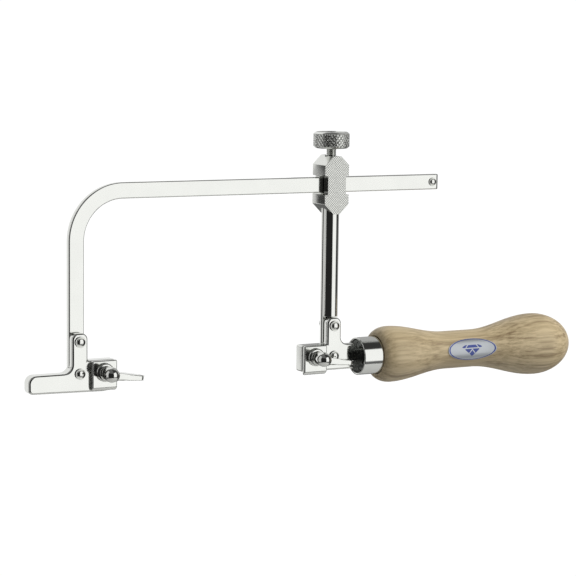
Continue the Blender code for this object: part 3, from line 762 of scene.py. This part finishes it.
def make_clamp_screw():
    """Threaded stem and diamond-knurled knob."""
    length = KNOB_HIGH.z - KNOB_LOW.z
    head = KNOB_FOOT
    rows = 7 * round(head / THREAD_PITCH)
    stem = [(0, 0)]
    stem += [(head * row / rows, STEM_RADIUS - 0.02 * MM) for row in range(rows + 1)]
    sunk = head + 0.5 * MM
    stem += [(sunk, STEM_RADIUS), (sunk, 0)]
    start = (POST_X, POST_Y, KNOB_LOW.z)
    shape = turned(stem, (0, 0, 1), start, 40, thread)
    screw = make("clamp_stem", shape, SCREW_PLATE, "clamp")
    screw.data.shade_smooth()
    rim = KNOB_RADIUS - KNOB_RIM
    rows = 44
    skirt = [(KNURL_FROM + KNURL_HEIGHT * row / rows, KNOB_RADIUS) for row in range(rows + 1)]
    profile = [(head, 0), (head, rim - 0.3 * MM), (head + 0.1 * MM, rim)] + skirt
    profile += [(length - 0.1 * MM, rim), (length, rim - 0.3 * MM), (length, rim - 1.2 * MM)]
    dish = length - 0.25 * MM
    profile += [(dish, rim - 1.6 * MM), (dish, 0)]
    bm = turned(profile, (0, 0, 1), start, 432, knurl)
    knob = make("clamp_knob", bm, KNURL_PLATE, "clamp", ["clamp_screw"])
    smooth(knob, 28)


def make_post():
    """Round post with its milled flat."""
    length = POST_HIGH.z - POST_LOW.z
    chamfer = 0.5 * MM
    profile = [(0, 0), (0, POST_RADIUS - chamfer), (chamfer, POST_RADIUS), (length, POST_RADIUS), (length, 0)]
    bm = turned(profile, (0, 0, 1), (POST_X, POST_Y, POST_LOW.z), 96)
    post = make("post", bm, POST_PLATE, "handle_assembly", ["post_rod"])
    flat = box((POST_X - CLEAR, -2 * CLEAR, -2 * CLEAR),
               (POST_X + CLEAR, TAB_THICKNESS + GAP, REAR_HIGH.z + GAP))
    combine(post, flat, "DIFFERENCE")
    soften(post, 0.12 * MM, 2, 60)


def make_ferrule():
    """Drawn tube with a rounded mouth."""
    outer = FERRULE_RADIUS
    inner = outer - FERRULE_WALL
    length = FERRULE_HIGH.x - FERRULE_LOW.x
    rim = 0.45 * MM
    profile = [(rim, inner), (rim * 0.3, inner + rim * 0.3), (0, inner + rim), (0, outer - rim)]
    profile += [(rim * 0.3, outer - rim * 0.3), (rim, outer)]
    profile += [(length - FERRULE_SEAT - GAP, outer), (length, outer)]
    profile += [(length, inner), (rim, inner)]
    bm = turned(profile, (1, 0, 0), (FERRULE_LOW.x, 0, 0), 128)
    bmesh.ops.remove_doubles(bm, verts=bm.verts, dist=0.001 * MM)
    ferrule = make("ferrule_tube", bm, FERRULE_PLATE, "handle_assembly", ["ferrule"])
    shade(ferrule)


def make_mouth_washer():
    """Dark metal disc in the ferrule's mouth in front of the wood, slotted for the tang: painted shade that
    stands for the shade inside the ferrule.
    """
    radius = FERRULE_RADIUS - FERRULE_WALL - 0.2 * MM
    start = HANDLE_LOW.x - 0.35 * MM
    thickness = 0.25 * MM
    profile = [(0, 0), (0, radius - 0.1 * MM), (0.05 * MM, radius), (thickness, radius), (thickness, 0)]
    disc = turned(profile, (1, 0, 0), (start, 0, 0), 96)
    # The dark disc is painted shade that stands for the shade inside the ferrule's mouth
    shade_disc = make("mouth_shade_disc", disc, SHADE_DISC_PLATE, "handle_assembly")
    slot = box((start - MM, -GAP, -TANG_HALF - GAP), (start + MM, TAB_THICKNESS + GAP, TANG_HALF + GAP))
    combine(shade_disc, slot, "DIFFERENCE")
    shade(shade_disc)


def handle_radius(distance):
    """Handle's radius at a distance from the shoulder behind the ferrule."""
    if distance < BULB_AT:
        share = math.sqrt(max(0, 1 - (1 - distance / BULB_AT) ** 2))
        return SHOULDER_RADIUS + (BULB_RADIUS - SHOULDER_RADIUS) * share
    if distance < WAIST_FROM:
        share = wave((distance - BULB_AT) / (WAIST_FROM - BULB_AT))
        return BULB_RADIUS + (WAIST_RADIUS - BULB_RADIUS) * share
    if distance < WAIST_TO:
        return WAIST_RADIUS
    if distance < BUTT_AT:
        share = wave((distance - WAIST_TO) / (BUTT_AT - WAIST_TO))
        return WAIST_RADIUS + (BUTT_RADIUS - WAIST_RADIUS) * share
    share = (distance - BUTT_AT) / (HANDLE_LENGTH - BUTT_AT)
    return BUTT_RADIUS * math.sqrt(max(0, 1 - share ** 2))


def wave(share):
    """Half a cosine wave from 0 to 1."""
    return (1 - math.cos(math.pi * share)) / 2


def make_handle():
    """Turned handle: spigot in the ferrule, round shoulder, waist and egg-shaped butt."""
    spigot = FERRULE_RADIUS - FERRULE_WALL - GAP
    pocket = FERRULE_HIGH.x - HANDLE_X + GAP
    mouth = FERRULE_RADIUS + GAP
    lip = HANDLE_X - HANDLE_LOW.x
    profile = [(-lip, 0), (-lip, spigot), (pocket, spigot), (pocket, mouth), (0, mouth)]
    shoulder_steps, body_steps, butt_steps = 14, 84, 24
    for step in range(shoulder_steps + 1):
        distance = BULB_AT * (1 - math.cos(math.pi / 2 * step / shoulder_steps))
        profile.append((distance, handle_radius(distance)))
    for step in range(1, body_steps + 1):
        distance = BULB_AT + (BUTT_AT - BULB_AT) * step / body_steps
        profile.append((distance, handle_radius(distance)))
    for step in range(1, butt_steps):
        angle = math.pi / 2 * step / butt_steps
        distance = BUTT_AT + (HANDLE_LENGTH - BUTT_AT) * math.sin(angle)
        profile.append((distance, BUTT_RADIUS * math.cos(angle)))
    profile.append((HANDLE_LENGTH, 0))
    bm = turned(profile, (1, 0, 0), (HANDLE_X, 0, 0), 128)
    handle = make("turned_handle", bm, BEECH, "handle_assembly", ["handle"])
    slot = box((HANDLE_LOW.x - MM, -GAP, -TANG_HALF - GAP),
               (REAR_HIGH.x + GAP, TAB_THICKNESS + GAP, TANG_HALF + GAP))
    combine(handle, slot, "DIFFERENCE")
    smooth(handle, 40)


def make_label():
    """Thin oval foil that follows the handle's waist, with flat coordinates for its print."""
    centre = (LABEL_LOW.x + LABEL_HIGH.x) / 2 - HANDLE_X
    half_length = (LABEL_HIGH.x - LABEL_LOW.x) / 2
    half_height = 5.6 * MM
    underside, face = 0.15 * MM, 0.35 * MM
    tilt = math.radians(6.0)
    rings, spokes = 12, 96
    bm = bmesh.new()
    layer_uv = bm.loops.layers.uv.new("flat")
    flat = {}
    sheets = []
    for lift in (underside, face):
        sheet = []
        for ring in range(rings + 1):
            points = []
            for spoke in range(spokes if ring else 1):
                angle = 2 * math.pi * spoke / spokes
                share = ring / rings
                along = centre + half_length * share * math.cos(angle)
                radius = handle_radius(along) + lift
                turn = tilt + half_height * share * math.sin(angle) / radius
                vertex = bm.verts.new((HANDLE_X + along, -radius * math.cos(turn), radius * math.sin(turn)))
                flat[vertex] = (share * math.cos(angle), share * math.sin(angle))
                points.append(vertex)
            sheet.append(points)
        for first, second in zip(sheet, sheet[1:]):
            bridge(bm, first, second)
        sheets.append(sheet)
    bridge(bm, sheets[0][-1], sheets[1][-1])
    for patch in bm.faces:
        for loop in patch.loops:
            loop[layer_uv].uv = flat[loop.vert]
    label = make("oval_label", bm, LABEL, "handle_assembly", ["handle_label"])
    smooth(label, 40)


def make_saw():
    front_screw = sum(corner.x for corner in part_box("front_jaw_plate")) / 2
    rear_screw = sum(corner.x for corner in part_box("rear_jaw_plate")) / 2
    leg_half = BAR_HALF + GAP
    make_bar()
    pocket = ((LEG_X - leg_half, TAB_THICKNESS, -3 * CLEAR), (LEG_X + leg_half, 2 * CLEAR, 4 * CLEAR))
    make_bracket("nose_bracket", front_outline(), pocket, "front_bracket", front_screw, "frame")
    pocket = ((POST_X - POST_RADIUS - GAP, TAB_THICKNESS, -3 * CLEAR),
              (REAR_HIGH.x + CLEAR, 2 * CLEAR, 4 * CLEAR))
    make_bracket("tang_bracket", rear_outline(), pocket, "rear_bracket", rear_screw, "handle_assembly")
    for side, body in (("front", "frame"), ("rear", "handle_assembly")):
        make_jaw_plate(side, f"{side}_jaw")
        make_wing_screw(side, f"{side}_screw")
        make_rivet(f"{side}_rivet_upper", body)
        make_rivet(f"{side}_rivet_lower", body)
        refinish(f"{side}_guide_pin", PIN_STEEL)
    make_rivet("bar_stop_rivet", "frame")
    refinish("pressure_pad", PAD_BRASS)
    make_block()
    make_checkering()
    make_clamp_screw()
    make_post()
    make_ferrule()
    make_mouth_washer()
    make_handle()
    make_label()


# Floor, light and camera

def make_floor():
    """Plain pale disc below the object."""
    bm = bmesh.new()
    bmesh.ops.create_circle(bm, cap_ends=True, radius=FLOOR_RADIUS, segments=96)
    mesh = bpy.data.meshes.new("floor")
    bm.to_mesh(mesh)
    bm.free()
    floor = bpy.data.objects.new("floor", mesh)
    floor.location = (LIGHT_TARGET[0], 0, CAD_BOX[0][2] - FLOOR_DROP)
    bpy.context.scene.collection.objects.link(floor)
    made = Shader("pale_floor")
    made.set(Base_Color=FLOOR_COLOUR, Roughness=0.8)
    mesh.materials.append(made.material)


def make_light(name, place, size, energy):
    """Square lamp that faces the saw and doesn't show in its reflections."""
    lamp = bpy.data.lights.new(name, "AREA")
    lamp.size = size
    lamp.energy = energy
    item = bpy.data.objects.new(name, lamp)
    item.location = place
    item.visible_glossy = False
    item.rotation_euler = (Vector(LIGHT_TARGET) - Vector(place)).to_track_quat("-Z", "Y").to_euler()
    bpy.context.scene.collection.objects.link(item)


def make_camera():
    """Long lens from the left of the saw's front, a little above it."""
    level = math.cos(CAMERA_PITCH)
    sight = Vector((math.sin(CAMERA_YAW) * level, math.cos(CAMERA_YAW) * level, -math.sin(CAMERA_PITCH)))
    right = Vector((math.cos(CAMERA_YAW), -math.sin(CAMERA_YAW), 0))
    up = right.cross(sight)
    across = math.cos(CAMERA_ROLL) * right + math.sin(CAMERA_ROLL) * up
    above = math.cos(CAMERA_ROLL) * up - math.sin(CAMERA_ROLL) * right
    data = bpy.data.cameras.new("camera")
    data.lens = CAMERA_LENS
    camera = bpy.data.objects.new("camera", data)
    turn = Matrix((across, above, -sight)).transposed().to_4x4()
    camera.matrix_world = Matrix.Translation(CAMERA_PLACE) @ turn
    bpy.context.scene.collection.objects.link(camera)
    bpy.context.scene.camera = camera


def make_world():
    """Light tent with light and dark panels that polished metal can mirror, and plain white behind it all."""
    world = bpy.data.worlds.new("tent")
    bpy.context.scene.world = world
    world.use_nodes = True
    tree = world.node_tree
    tree.nodes.clear()

    def node(kind, inputs=None, **settings):
        return add_node(tree, kind, inputs, **settings)

    def step(value, start, end):
        smooth = node("ShaderNodeMapRange", {"Value": value, "From Min": start, "From Max": end},
                      interpolation_type="SMOOTHSTEP")
        return smooth.outputs["Result"]

    def times(first, second):
        return node("ShaderNodeMath", {0: first, 1: second}, operation="MULTIPLY").outputs[0]

    direction = node("ShaderNodeTexCoord").outputs["Generated"]
    turned_round = node("ShaderNodeVectorRotate", {"Vector": direction, "Angle": CAMERA_YAW},
                        rotation_type="Z_AXIS")
    axes = node("ShaderNodeSeparateXYZ", {"Vector": turned_round.outputs["Vector"]})
    back = node("ShaderNodeMath", {0: axes.outputs["Y"], 1: -1.0}, operation="MULTIPLY").outputs[0]
    azimuth = node("ShaderNodeMath", {0: axes.outputs["X"], 1: back}, operation="ARCTAN2").outputs[0]
    height = node("ShaderNodeMath", {0: axes.outputs["Z"]}, operation="ARCSINE").outputs[0]

    def panel(left, right, low, high, soft):
        """Share of a soft-edged panel, angles in degrees from the camera's side of the saw."""
        left, right, low, high, soft = (math.radians(angle) for angle in (left, right, low, high, soft))
        wide = times(step(azimuth, left - soft, left + soft), step(azimuth, right + soft, right - soft))
        tall = times(step(height, low - soft, low + soft), step(height, high + soft, high - soft))
        return times(wide, tall)

    shade_of = TENT_TONE
    for left, right, low, high, soft, tone in TENT_PANELS:
        inputs = {0: panel(left, right, low, high, soft), 2: shade_of, 3: tone}
        shade_of = node("ShaderNodeMix", inputs, data_type="FLOAT").outputs[0]
    tent = node("ShaderNodeBackground", {"Color": shade_of, "Strength": 1.0})
    plain = node("ShaderNodeBackground", {"Color": (1, 1, 1, 1), "Strength": BACKDROP})
    seen = node("ShaderNodeLightPath").outputs["Is Camera Ray"]
    both = node("ShaderNodeMixShader", {0: seen, 1: tent.outputs[0], 2: plain.outputs[0]})
    node("ShaderNodeOutputWorld", {"Surface": both.outputs[0]})


make_saw()
make_floor()
make_world()
make_camera()
make_light("key", (-0.5, -0.7, 1.1), 0.7, 4.0)
make_light("fill", (0.9, -0.6, 0.7), 0.8, 11.5)
bpy.context.scene.view_settings.view_transform = "Standard"
